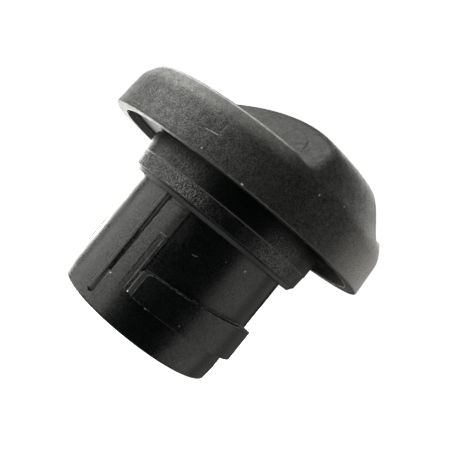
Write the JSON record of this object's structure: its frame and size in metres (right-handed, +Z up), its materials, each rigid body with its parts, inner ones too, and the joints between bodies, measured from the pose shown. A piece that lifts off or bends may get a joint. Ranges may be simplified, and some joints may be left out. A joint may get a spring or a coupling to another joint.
{
  "type": "oil filler cap",
  "caption": "Screw-in oil filler cap with a round scooped cover, a straight grip bar, a hollow bayonet plug and a rubber seal ring.",
  "frame": {"origin": "centre of the plug's open end, on which the cap stands", "axes": "+Z up along the cap's axis towards the grip bar's top, +X along the grip bar"},
  "size_m": [0.0686, 0.0686, 0.0587],
  "materials": {
    "cover_plastic": "fine grained matte",
    "plug_plastic": "satin moulded",
    "seal_rubber": "matte speckled"
  },
  "bodies": {
    "root": {"cover": "cover_plastic", "plug": "plug_plastic", "seal_ring": "seal_rubber"}
  },
  "joints": []
}
